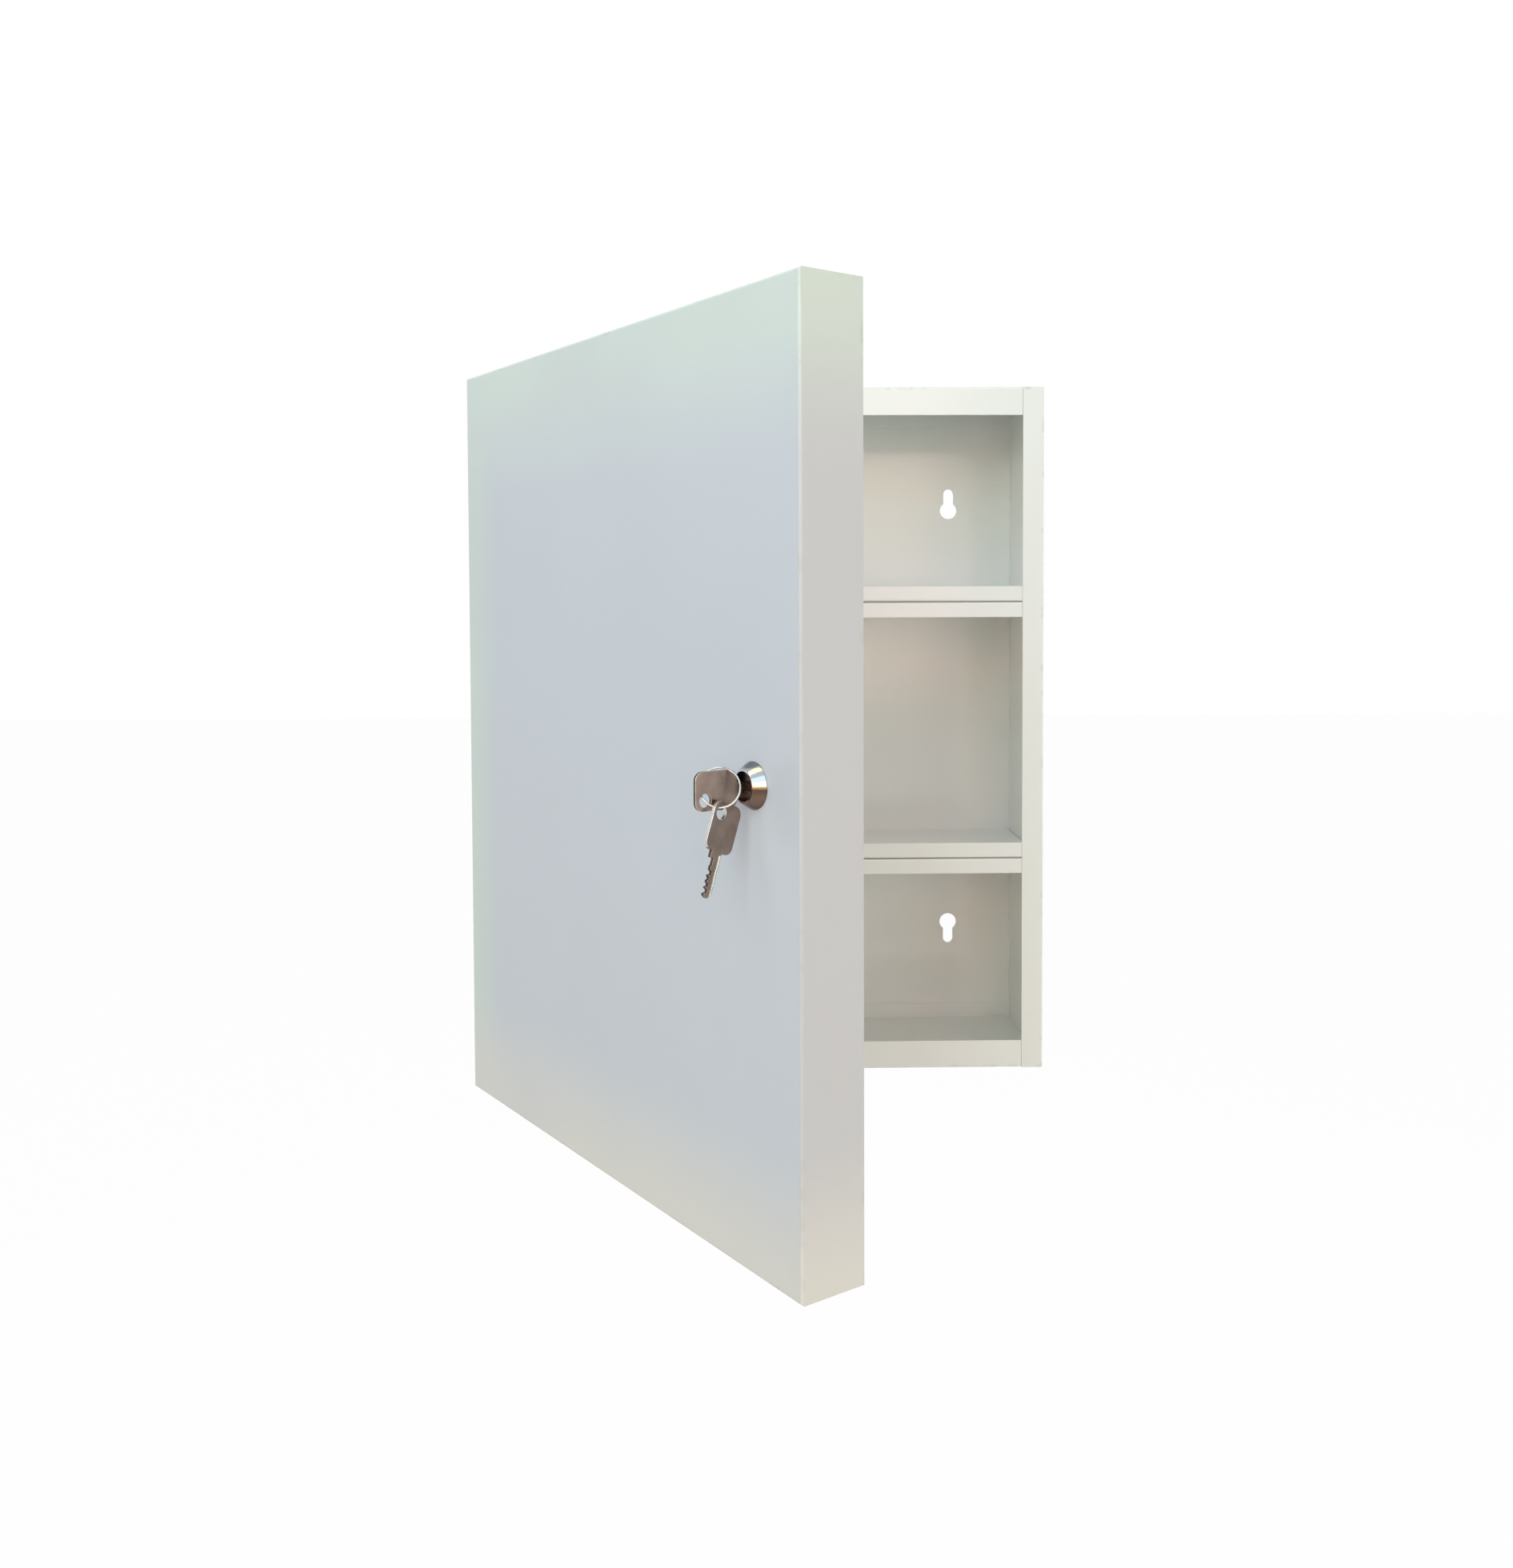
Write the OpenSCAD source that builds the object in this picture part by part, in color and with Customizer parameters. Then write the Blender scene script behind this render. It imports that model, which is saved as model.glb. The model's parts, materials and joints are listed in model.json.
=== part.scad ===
// Lockable wall cabinet with a pan door, two lipped shelves and a cam lock.
// Millimetres. X runs right, Y runs back to the wall, Z runs up.
// The origin is the centre of the wall face.

/* [Cabinet] */
// Overall height of the door
door_h = 450; // [380:1:520]
// Overall width of the door
door_w = 350; // [300:1:420]
// Depth from the wall to the closed door's outer face
total_d = 150; // [130:1:180]
// Depth of the door's folded pan
pan_d = 35; // [28:1:45]
// Gap between the closed door and the body
door_gap = 2; // [1.6:0.1:3]
// How far the door overhangs the body on each side
overhang = 2; // [1.8:0.1:4]
// Thickness of the steel sheet
sheet = 1; // [0.8:0.1:1.5]
// Inside radius of each bend
bend_r = 0.6; // [0.4:0.1:1]
// Width of the body's front jambs
jamb_w = 14; // [11:0.5:20]
// Height of the top and bottom front lips
lip_h = 18; // [14:0.5:24]
// Height of the rear flanges on the top and bottom panels
rear_flange_h = 11; // [8:0.5:16]
// How far the door stands open
door_open = 55.5; // [0:0.5:100]

/* [Shelves] */
// Height of each shelf's seam above or below the middle
shelf_z = 84; // [60:1:110]
// Height of each shelf lip, measured from the seam
shelf_lip_h = 10; // [8:0.5:14]
// Height of the shelf trays' side and rear flanges
shelf_flange_h = 8; // [5:0.5:10]
// Gap at each end of a lip, next to the jamb
lip_seam = 0.3; // [0.2:0.1:1]

/* [Keyholes] */
// Distance of the keyholes from the middle, sideways
keyhole_x = 126.5; // [100:0.5:135]
// Distance of the keyholes' round ends from the middle, up and down
keyhole_z = 151; // [135:1:165]
// Diameter of a keyhole's round end
keyhole_d = 12; // [10:0.5:14]
// Width of a keyhole's slot
keyhole_slot_w = 7; // [5:0.5:8]
// Distance from a keyhole's round end to its slot end
keyhole_run = 12; // [9:0.5:16]

/* [Hinges] */
// Diameter of the hinge pins
pin_d = 4; // [3:0.1:4.4]
// Distance of the hinge axis from the body's side
pin_inset = 3; // [2.7:0.1:3.2]
// Distance of the hinge axis in front of the body
pin_ahead = 8; // [7.8:0.1:9]
// Running clearance of a hinge pin in its ear, on the radius
pin_clear = 0.05; // [0.02:0.01:0.08]
// Thickness of the hinge plates
ear_t = 2; // [1.5:0.1:3]
// Wall of the hinge ear around its hole
ear_wall = 1.15; // [1:0.05:1.3]
// Width of the hinge plates where they pass the jamb
ear_neck_w = 8; // [7:0.5:9]
// Width of a hinge plate's welded pad
ear_pad_w = 24; // [16:1:40]
// Depth of a hinge plate's welded pad
ear_pad_d = 20; // [12:1:40]
// Length of a pin below its ear
pin_tail = 3.5; // [2:0.5:8]

/* [Lock] */
// Distance of the lock from the door's free edge
lock_inset = 35.5; // [33.5:0.5:38]
// Diameter of the lock head at the door
head_d = 22; // [20:0.5:26]
// Diameter of the lock head's front rim
rim_d = 16; // [15.4:0.2:18]
// How far the lock head stands proud of the door
head_h = 6; // [5:0.5:8]
// Diameter of the recess inside the rim
recess_d = 13.8; // [13.6:0.1:14.2]
// Depth of the plug's face behind the rim
recess_h = 3.5; // [2.5:0.5:4]
// Diameter of the threaded barrel
barrel_d = 16; // [15:0.5:18]
// Width across the barrel's flats
barrel_flats = 14; // [13.5:0.1:14.5]
// Length of the barrel behind the door's outer face
barrel_l = 25; // [22:0.5:27]
// Diameter of the turning plug
plug_d = 12; // [11.6:0.1:12.4]
// Running clearance of the plug in the barrel, on the radius
plug_clear = 0.05; // [0.02:0.01:0.08]
// Width of the plug's square tail
tail_w = 7; // [6:0.5:8]
// Width across the nut's flats
nut_flats = 19; // [18:0.5:22]
// Thickness of the nut
nut_t = 3.5; // [2.5:0.5:6]
// Thickness of the toothed washer
tooth_washer_t = 0.8; // [0.5:0.1:1.2]
// Thickness of the cam
cam_t = 2; // [1.5:0.5:2.5]
// Width of the cam's arm
cam_w = 12; // [10:0.5:14]
// Reach of the cam from the lock's axis
cam_reach = 26; // [24:0.5:28]
// Gap between the locked cam and the jamb
cam_gap = 0.4; // [0.3:0.1:1]
// Thickness of the stop washer under the cam
stop_washer_t = 1.2; // [0.8:0.1:2]
// Diameter of the cam screw
screw_d = 4; // [3:0.5:5]
// Number of wafer tumblers
wafer_n = 4; // [2:1:4]
// Distance between wafer tumblers
wafer_pitch = 2.7; // [2.2:0.1:2.8]
// Thickness of a wafer tumbler
wafer_t = 1; // [0.7:0.1:1.2]

/* [Keys] */
// Length of a key's bow
bow_l = 22; // [20:0.5:26]
// Height of a key's bow
bow_h = 17.6; // [16.6:0.2:18]
// How far the bow's middle lies below the blade's middle
bow_drop = 0.6; // [0:0.1:1]
// Corner radius of a key's bow
bow_r = 4; // [2:0.5:5]
// Thickness of a key
key_t = 1.7; // [1.4:0.1:1.8]
// Length of a key's blade
blade_l = 20.5; // [18:0.5:22]
// Height of a key's blade
blade_h = 4.6; // [4:0.1:5]
// Distance of the inserted key's bow from the door
bow_out = 9.5; // [9:0.5:12]
// Diameter of the hole in a key's bow
key_hole_d = 6.2; // [6:0.1:6.4]
// Distance of the key's hole from the bow's outer end
key_hole_in = 5.2; // [5:0.1:6]
// Distance of the key's hole from the middle of the blade
key_hole_off = 4.7; // [4:0.1:5]
// Mean diameter of the split ring
ring_d = 18; // [17:0.5:19]
// Width of the split ring, both turns together
ring_w = 1.2; // [0.9:0.1:1.3]
// Thickness of the split ring's wire
ring_t = 0.8; // [0.6:0.1:0.9]
// Turn of the ring's axis from the door's width
ring_turn = -32; // [-34:1:-30]
// Tilt of the ring's axis upward
ring_tilt = 18; // [16:1:20]
// Turn of the hanging key, seen from above
spare_turn = 104; // [98:1:105]
// Lean of the hanging key
spare_lean = 22.5; // [20:0.5:26]

/* [Hidden] */
$fn = 64;
paint = [0.90, 0.91, 0.88];
inner_paint = [0.86, 0.87, 0.82];
nickel = [0.52, 0.47, 0.42];
dark_nickel = [0.36, 0.33, 0.30];
zinc = [0.66, 0.67, 0.68];
brass = [0.78, 0.66, 0.36];
nylon = [0.93, 0.93, 0.90];
eps = 0.01;

// Body
body_w = door_w - 2 * overhang;
body_h = door_h - 2 * overhang;
body_d = total_d - pan_d - door_gap;
outer_r = bend_r + sheet;
inner_w = body_w - 2 * sheet;
mouth_w = body_w - 2 * jamb_w;
lip_l = mouth_w - 2 * lip_seam;
liner_clear = bend_r;

// Hinge axis, and the ear's reach round it
axis_x = -body_w / 2 + pin_inset;
axis_y = -body_d - pin_ahead;
ear_r = pin_d / 2 + pin_clear + ear_wall;
ear_z = body_h / 2 - sheet;
ear_notch_clear = 0.1;
flange_out = pin_inset + overhang;
edge_clear = 0.6;
edge_reach = sqrt(pow(pin_ahead - edge_clear, 2) - pow(flange_out, 2));
flange_z = door_h / 2 - sheet;
bearing_gap = flange_z - ear_z;
corner_clear_d = 1.5;
corner_clear_h = 2.5;
corner_notch_d = flange_out + corner_clear_d;
corner_notch_h = bearing_gap + ear_t + corner_clear_h;
pin_head_t = 0.8;
pin_head_over = 1;
pin_head_r = pin_d / 2 + pin_head_over;
washer_t = bearing_gap - pin_head_t;
washer_clear = 0.1;

// Lock, measured outward from the door's outer face
lock_x = door_w / 2 - lock_inset;
face_out = head_h - recess_h;
shoulder_t = 1.5;
shoulder_clear = 0.1;
seat_out = face_out - shoulder_t;
rim_round = 0.5;
bore_r = plug_d / 2 + plug_clear;
hole_clear = 0.1;
plug_proud = 0.2;
plug_end = -barrel_l - plug_proud;
cam_back = -(total_d - body_d + sheet) - cam_gap;
cam_base = plug_end - stop_washer_t;
cam_bend_margin = 1;
cam_jamb_margin = 3;
cam_bend_in = cam_w / 2 + cam_bend_margin;
cam_bend_out = lock_inset - overhang - jamb_w - cam_jamb_margin;
cam_lean = atan2(cam_base - cam_back, cam_bend_out - cam_bend_in);
cam_hub_over = 1.5;
cam_hub_r = cam_w / 2 + cam_hub_over;
cam_tip_r = 3;
tail_clear = 0.1;
tail_short = 0.4;
tail_end = cam_base - cam_t + tail_short;
screw_head_d = 2 * screw_d;
screw_head_t = 2.4;
screw_l = 9;
screw_end_gap = 1;
screw_cross_w = 1;
screw_cross_share = 0.6;
lug_w = 3;
lug_clear = 0.3;
lug_h = -barrel_l - cam_base - lug_clear;
stop_inner_clear = 0.4;
stop_outer_clear = 0.5;
stop_inner_r = bore_r - stop_inner_clear;
stop_outer_r = barrel_d / 2 - stop_outer_clear;
stop_margin = 16;
thread_clear = 0.05;
tooth_n = 16;
tooth_gap_w = 1.2;
tooth_gap_d = 1;
keyway_clear = 0.15;
keyway_margin = 1;
keyway_end = bow_out - blade_l - keyway_margin;
wafer_w = 7;
wafer_inset = 0.15;
wafer_r = plug_d / 2 - wafer_inset;
first_wafer_in = 1;
wafer_first = seat_out - first_wafer_in;
wafer_clear = 0.1;

// Keys
cut_depths = [1.5, 0.7, 1.2, 1.6];
cut_half_w = 0.4;
shoulder_l = 3.2;
shoulder_drop = 2;
relief_l = 3;
relief_depth = 0.4;
groove_w = 1;
groove_d = 0.45;
groove_y = 1.2;
groove_start = 1;
tip_chamfer = 1.6;
hole_out = bow_out + bow_l - key_hole_in;
ring_groove = 0.2;
ring_side = 1.9;
ring_in = 6.9;
ring_rise = 0.8;
ring_pos = [ring_side, ring_in - hole_out, ring_rise];
hang_slack = 0.6;
hang_drop = key_hole_d / 2 - ring_t / 2 - hang_slack;
ring_low_z = ring_pos[2] - ring_d / 2 * cos(ring_tilt);
ring_low_side = ring_d / 2 * sin(ring_tilt);
hang_pos = [
    ring_pos[0] + ring_low_side * cos(ring_turn),
    ring_pos[1] + ring_low_side * sin(ring_turn),
    ring_low_z - hang_drop
];

// Frames

// Places children drawn on the closed door where the open door is
module on_door() {
    translate([axis_x, axis_y, 0]) rotate([0, 0, -door_open]) translate([-axis_x, -axis_y, 0]) children();
}

// Places children drawn about the lock: Y is the lock's axis, zero at the door's outer face
module at_lock() {
    on_door() translate([lock_x, -total_d, 0]) children();
}

// Turns a revolved or extruded shape so that its Z points out of the door
module outward() {
    rotate([90, 0, 0]) children();
}

// Draws children again at the other end of the cabinet
module flipped() {
    mirror([0, 0, 1]) children();
}

// Folded sheet shapes

function heading(a, b) = (b - a) / norm(b - a);

module rounded_rect(w, h, r) {
    square([w - 2 * r, h], center = true);
    square([w, h - 2 * r], center = true);
    for (side = [-1, 1], end = [-1, 1])
        translate([side * (w / 2 - r), end * (h / 2 - r)]) circle(r);
}

// The section of a folded sheet: the path is its middle line, with square turns
module folded_strip(path) {
    mid_r = bend_r + sheet / 2;
    last = len(path) - 1;
    for (i = [0:last - 1]) {
        d = heading(path[i], path[i + 1]);
        a = path[i] + (i > 0 ? mid_r : 0) * d;
        b = path[i + 1] - (i < last - 1 ? mid_r : 0) * d;
        translate((a + b) / 2)
            square([abs(b.x - a.x) + sheet * abs(d.y), abs(b.y - a.y) + sheet * abs(d.x)], center = true);
    }
    for (i = [1:last - 1]) {
        d_in = heading(path[i - 1], path[i]);
        d_out = heading(path[i], path[i + 1]);
        translate(path[i] + mid_r * (d_out - d_in)) intersection() {
            difference() {
                circle(outer_r);
                circle(bend_r);
            }
            translate((d_in - d_out) * outer_r / 2) square(outer_r, center = true);
        }
    }
}

// Extrudes a section drawn in Y and Z along X
module along_x(length) {
    rotate([90, 0, 90]) linear_extrude(length, center = true) children();
}

// A flat sheet from wall to wall behind the jambs, cut back at the body's bends
module web_plate(w, low_z) {
    deep = body_d - 2 * sheet;
    translate([0, -body_d / 2, low_z + sheet / 2]) {
        cube([w - 2 * bend_r, deep, sheet], center = true);
        cube([w, deep - 2 * bend_r, sheet], center = true);
    }
}

// Body pieces

module keyhole(run) {
    deep = 4 * sheet;
    cylinder(d = keyhole_d, h = deep, center = true);
    translate([0, run, 0]) cylinder(d = keyhole_slot_w, h = deep, center = true);
    translate([0, run / 2, 0]) cube([keyhole_slot_w, abs(run), deep], center = true);
}

// The opening in the jamb for the upper hinge plate
module ear_notch() {
    c = ear_notch_clear;
    translate([-inner_w / 2 - c, -body_d - sheet, ear_z - ear_t - c])
        cube([ear_neck_w + 2 * c, sheet + 2 * outer_r, ear_t + c]);
}

module body_wrap() {
    front = -body_d + sheet / 2;
    side_x = (body_w - sheet) / 2;
    section = [
        [-mouth_w / 2, front],
        [-side_x, front],
        [-side_x, -sheet / 2],
        [side_x, -sheet / 2],
        [side_x, front],
        [mouth_w / 2, front]
    ];
    color(paint) difference() {
        translate([0, 0, -body_h / 2]) linear_extrude(body_h) folded_strip(section);
        for (side = [-1, 1], end = [-1, 1])
            translate([side * keyhole_x, 0, end * keyhole_z])
                rotate([90, 0, 0]) keyhole(end * keyhole_run);
        ear_notch();
        flipped() ear_notch();
    }
}

// The panel that closes the top: a lip down at the front, a flange down at the rear
module end_panel() {
    front = -body_d + sheet / 2;
    top = body_h / 2;
    section = [
        [front, top - lip_h],
        [front, top - sheet / 2],
        [-1.5 * sheet, top - sheet / 2],
        [-1.5 * sheet, top - rear_flange_h]
    ];
    along_x(lip_l) folded_strip(section);
    web_plate(inner_w, top - sheet);
}

module top_panel() {
    color(paint) end_panel();
}

module bottom_panel() {
    color(paint) flipped() end_panel();
}

// The upper sheet of a shelf: a lip up at the front, flanges down at the sides and rear
module shelf_tray(seam_z) {
    front = -body_d + sheet / 2;
    side_x = (inner_w - sheet) / 2;
    front_to_rear = [
        [front, seam_z + shelf_lip_h],
        [front, seam_z + sheet / 2],
        [-1.5 * sheet, seam_z + sheet / 2],
        [-1.5 * sheet, seam_z - shelf_flange_h]
    ];
    side_to_side = [
        [-side_x, seam_z - shelf_flange_h],
        [-side_x, seam_z + sheet / 2],
        [side_x, seam_z + sheet / 2],
        [side_x, seam_z - shelf_flange_h]
    ];
    color(inner_paint) {
        along_x(lip_l) folded_strip(front_to_rear);
        translate([0, -sheet - outer_r, 0]) rotate([90, 0, 0])
            linear_extrude(body_d - 2 * sheet - 2 * outer_r) folded_strip(side_to_side);
        web_plate(inner_w - 2 * outer_r, seam_z);
    }
}

// The lower sheet of a shelf, back to back with the tray: a lip down at the front
module shelf_liner(seam_z) {
    front = -body_d + sheet / 2;
    rear = -2 * sheet - liner_clear;
    section = [
        [front, seam_z - shelf_lip_h],
        [front, seam_z - sheet / 2],
        [rear, seam_z - sheet / 2]
    ];
    liner_w = inner_w - 2 * sheet - 2 * liner_clear;
    liner_d = body_d - sheet + rear;
    color(inner_paint) {
        along_x(lip_l) folded_strip(section);
        translate([0, rear - liner_d / 2, seam_z - sheet / 2]) cube([liner_w, liner_d, sheet], center = true);
    }
}

module upper_shelf_tray() {
    shelf_tray(shelf_z);
}

module upper_shelf_liner() {
    shelf_liner(shelf_z);
}

module lower_shelf_tray() {
    shelf_tray(-shelf_z);
}

module lower_shelf_liner() {
    shelf_liner(-shelf_z);
}

// The plate whose ear holds the upper hinge pin, welded under the top panel
module hinge_plate() {
    wall_x = -inner_w / 2;
    pad_front = -body_d + sheet + bend_r;
    color(zinc) translate([0, 0, ear_z - ear_t]) linear_extrude(ear_t) difference() {
        union() {
            translate([axis_x, axis_y]) circle(ear_r);
            translate([wall_x, axis_y]) square([ear_neck_w, pad_front - axis_y]);
            translate([wall_x, pad_front]) square([ear_pad_w, ear_pad_d]);
        }
        translate([axis_x, axis_y]) circle(pin_d / 2 + pin_clear);
    }
}

module upper_hinge_plate() {
    hinge_plate();
}

module lower_hinge_plate() {
    flipped() hinge_plate();
}

// Door pieces

// The room inside the pan, or the pan's outside where the inset is zero
module pan_form(inset, r) {
    deep = 2 * (pan_d - inset);
    intersection() {
        linear_extrude(2 * door_h, center = true)
            translate([0, -total_d + pan_d]) rounded_rect(door_w - 2 * inset, deep, r);
        along_x(2 * door_w)
            translate([-total_d + pan_d, 0]) rounded_rect(deep, door_h - 2 * inset, r);
    }
}

// What is cut from the pan's hinge side so that its corner clears the hinge plate
module pan_corner_notch() {
    wide = 2 * flange_out;
    low = door_h / 2 - sheet - corner_notch_h;
    translate([-door_w / 2 - wide / 2, axis_y - corner_notch_d, low])
        cube([wide, pan_d, corner_notch_h]);
}

module lock_hole_section(clear) {
    intersection() {
        circle(barrel_d / 2 + clear);
        square([barrel_flats + 2 * clear, barrel_d + 2 * clear + 1], center = true);
    }
}

module door_panel() {
    rear = -total_d + pan_d;
    color(paint) on_door() difference() {
        intersection() {
            pan_form(0, outer_r);
            translate([0, rear - pan_d, 0]) cube([2 * door_w, 2 * pan_d, 2 * door_h], center = true);
        }
        pan_form(sheet, bend_r);
        translate([-door_w / 2 - sheet, axis_y + edge_reach, -door_h])
            cube([2 * sheet + bend_r, pan_d, 2 * door_h]);
        pan_corner_notch();
        flipped() pan_corner_notch();
        translate([axis_x, axis_y, 0]) cylinder(d = pin_d, h = 2 * door_h, center = true);
        translate([lock_x, -total_d, 0]) outward()
            linear_extrude(4 * sheet, center = true) lock_hole_section(hole_clear);
    }
}

// The upper pin: riveted in the pan's top flange, with a shoulder under it
module hinge_pin() {
    low = ear_z - ear_t - pin_tail;
    color(zinc) on_door() translate([axis_x, axis_y, 0]) {
        translate([0, 0, low]) cylinder(d = pin_d, h = door_h / 2 - low);
        translate([0, 0, flange_z - pin_head_t]) cylinder(r = pin_head_r, h = pin_head_t);
    }
}

module upper_hinge_pin() {
    hinge_pin();
}

module lower_hinge_pin() {
    flipped() hinge_pin();
}

module hinge_washer() {
    color(nylon) on_door() translate([axis_x, axis_y, ear_z]) difference() {
        cylinder(r = ear_r, h = washer_t);
        translate([0, 0, -eps]) cylinder(r = pin_d / 2 + washer_clear, h = washer_t + 2 * eps);
    }
}

module upper_hinge_washer() {
    hinge_washer();
}

module lower_hinge_washer() {
    flipped() hinge_washer();
}

// Lock pieces, drawn about the lock's axis with Z pointing out of the door

module lock_housing() {
    head = [
        [bore_r, 0],
        [head_d / 2, 0],
        [head_d / 2, rim_round],
        [rim_d / 2, head_h - rim_round],
        [rim_d / 2 - rim_round / 2, head_h],
        [recess_d / 2, head_h],
        [recess_d / 2, seat_out],
        [bore_r, seat_out]
    ];
    color(nickel) at_lock() outward() {
        rotate_extrude() polygon(head);
        difference() {
            translate([0, 0, -barrel_l]) linear_extrude(barrel_l) lock_hole_section(0);
            translate([0, 0, -barrel_l - eps]) cylinder(r = bore_r, h = barrel_l + 2 * eps);
        }
        // The lug that stops the washer after a quarter turn
        intersection() {
            translate([0, 0, -barrel_l - lug_h]) linear_extrude(lug_h) difference() {
                circle(barrel_d / 2);
                circle(bore_r + lug_clear);
            }
            translate([-barrel_d / 2, -lug_w / 2, -barrel_l - lug_h])
                cube([barrel_d / 2 - bore_r / 2, lug_w, lug_h]);
        }
    }
}

module lock_tooth_washer() {
    outer = nut_flats / 2;
    color(zinc) at_lock() outward() translate([0, 0, -sheet - tooth_washer_t])
        linear_extrude(tooth_washer_t) difference() {
            circle(outer);
            circle(barrel_d / 2 + hole_clear);
            for (i = [0:tooth_n - 1])
                rotate(i * 360 / tooth_n) translate([outer, 0])
                    square([2 * tooth_gap_d, tooth_gap_w], center = true);
        }
}

module lock_nut() {
    color(zinc) at_lock() outward() translate([0, 0, -sheet - tooth_washer_t - nut_t]) difference() {
        cylinder(d = nut_flats / cos(30), h = nut_t, $fn = 6);
        translate([0, 0, -eps]) cylinder(d = barrel_d + 2 * thread_clear, h = nut_t + 2 * eps);
    }
}

module wedge(low, high, reach) {
    step = (high - low) / 4;
    polygon(concat([[0, 0]], [for (i = [0:4]) reach * [cos(low + i * step), sin(low + i * step)]]));
}

// The distance of a wafer tumbler from the door's outer face
function wafer_out(i) = wafer_first - i * wafer_pitch;

module lock_plug() {
    slot_t = wafer_t + 2 * wafer_clear;
    color(dark_nickel) at_lock() outward() difference() {
        union() {
            translate([0, 0, seat_out]) cylinder(r = recess_d / 2 - shoulder_clear, h = shoulder_t);
            translate([0, 0, plug_end]) cylinder(d = plug_d, h = seat_out - plug_end);
            translate([0, 0, (tail_end + plug_end) / 2])
                cube([tail_w, tail_w, plug_end - tail_end], center = true);
        }
        translate([0, 0, keyway_end]) linear_extrude(face_out - keyway_end + eps)
            square([key_t + 2 * keyway_clear, blade_h + 2 * keyway_clear], center = true);
        for (i = [0:wafer_n - 1])
            translate([0, 0, wafer_out(i)])
                cube([wafer_w + 2 * wafer_clear, 2 * plug_d, slot_t], center = true);
        translate([0, 0, tail_end - eps]) cylinder(d = screw_d + 2 * thread_clear, h = screw_l);
    }
}

module wafer_tumblers() {
    color(brass) at_lock() outward() for (i = [0:wafer_n - 1])
        translate([0, 0, wafer_out(i) - wafer_t / 2]) linear_extrude(wafer_t) difference() {
            intersection() {
                circle(wafer_r);
                square([wafer_w, plug_d], center = true);
            }
            square([key_t + 2 * keyway_clear, blade_h + 2 * keyway_clear], center = true);
        }
}

// Turns with the plug: its cut-out leaves the housing's lug a quarter turn
module cam_stop_washer() {
    color(zinc) at_lock() outward() translate([0, 0, cam_base]) linear_extrude(stop_washer_t) difference() {
        circle(stop_outer_r);
        square(tail_w + 2 * tail_clear, center = true);
        difference() {
            wedge(180 - stop_margin, 270 + stop_margin, barrel_d);
            circle(stop_inner_r);
        }
    }
}

// A cranked arm: flat on the plug's tail, stepped back, flat again behind the jamb
module lock_cam() {
    shift = cam_t * tan(cam_lean / 2);
    side = [
        [-cam_hub_r, cam_base],
        [cam_bend_in, cam_base],
        [cam_bend_out, cam_back],
        [cam_reach, cam_back],
        [cam_reach, cam_back - cam_t],
        [cam_bend_out - shift, cam_back - cam_t],
        [cam_bend_in - shift, cam_base - cam_t],
        [-cam_hub_r, cam_base - cam_t]
    ];
    arm_l = cam_reach + cam_tip_r;
    color(zinc) at_lock() outward() difference() {
        intersection() {
            rotate([90, 0, 90]) linear_extrude(2 * cam_hub_r, center = true) polygon(side);
            translate([0, 0, 2 * cam_back]) linear_extrude(-2 * cam_back) {
                circle(cam_hub_r);
                translate([0, cam_reach - arm_l / 2]) rounded_rect(cam_w, arm_l, cam_tip_r);
            }
        }
        translate([0, 0, cam_base])
            cube([tail_w + 2 * tail_clear, tail_w + 2 * tail_clear, 3 * cam_t], center = true);
    }
}

module cam_screw() {
    seat = cam_base - cam_t;
    color(zinc) at_lock() outward() difference() {
        union() {
            translate([0, 0, seat - screw_head_t]) cylinder(d = screw_head_d, h = screw_head_t);
            translate([0, 0, seat - eps]) cylinder(d = screw_d, h = screw_l - screw_end_gap);
        }
        for (turn = [0, 90])
            translate([0, 0, seat - screw_head_t]) rotate(turn)
                cube([screw_head_d * screw_cross_share, screw_cross_w, screw_head_t], center = true);
    }
}

// Keys

// A key lying flat: the blade runs along X from the bow's end, its cuts on the low side of Y
module key_form() {
    low = -blade_h / 2;
    high = blade_h / 2;
    first_cut = bow_out - wafer_first;
    cuts = [
        for (i = [0:wafer_n - 1])
            let (x = first_cut + i * wafer_pitch, d = cut_depths[i])
            each [
                [x - cut_half_w - d / 2, low],
                [x - cut_half_w, low + d],
                [x + cut_half_w, low + d],
                [x + cut_half_w + d / 2, low]
            ]
    ];
    outline = concat(
        [[-bow_r, high], [-bow_r, low - shoulder_drop], [shoulder_l, low - shoulder_drop]],
        [[shoulder_l, low + relief_depth], [shoulder_l + relief_l, low + relief_depth]],
        [[shoulder_l + relief_l + relief_depth, low]],
        cuts,
        [[blade_l - tip_chamfer / 2, low], [blade_l, low + tip_chamfer], [blade_l, high - tip_chamfer]],
        [[blade_l - tip_chamfer, high]]
    );
    difference() {
        linear_extrude(key_t, center = true) difference() {
            union() {
                translate([-bow_l / 2, -bow_drop]) rounded_rect(bow_l, bow_h, bow_r);
                polygon(outline);
            }
            translate([-bow_l + key_hole_in, -key_hole_off]) circle(d = key_hole_d);
        }
        translate([groove_start, groove_y - groove_w / 2, key_t / 2 - groove_d])
            cube([blade_l, groove_w, key_t]);
    }
}

module key() {
    color(nickel) at_lock() translate([0, -bow_out, 0]) rotate([90, 0, 90]) key_form();
}

module key_ring() {
    turn_w = (ring_w - ring_groove) / 2;
    color(nickel) at_lock() translate(ring_pos) rotate([0, -ring_tilt, ring_turn]) rotate([0, 90, 0])
        rotate_extrude() translate([ring_d / 2, 0]) {
            square([ring_t / 2, ring_w], center = true);
            for (side = [-1, 1])
                translate([0, side * (ring_w - turn_w) / 2]) square([ring_t, turn_w], center = true);
        }
}

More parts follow.
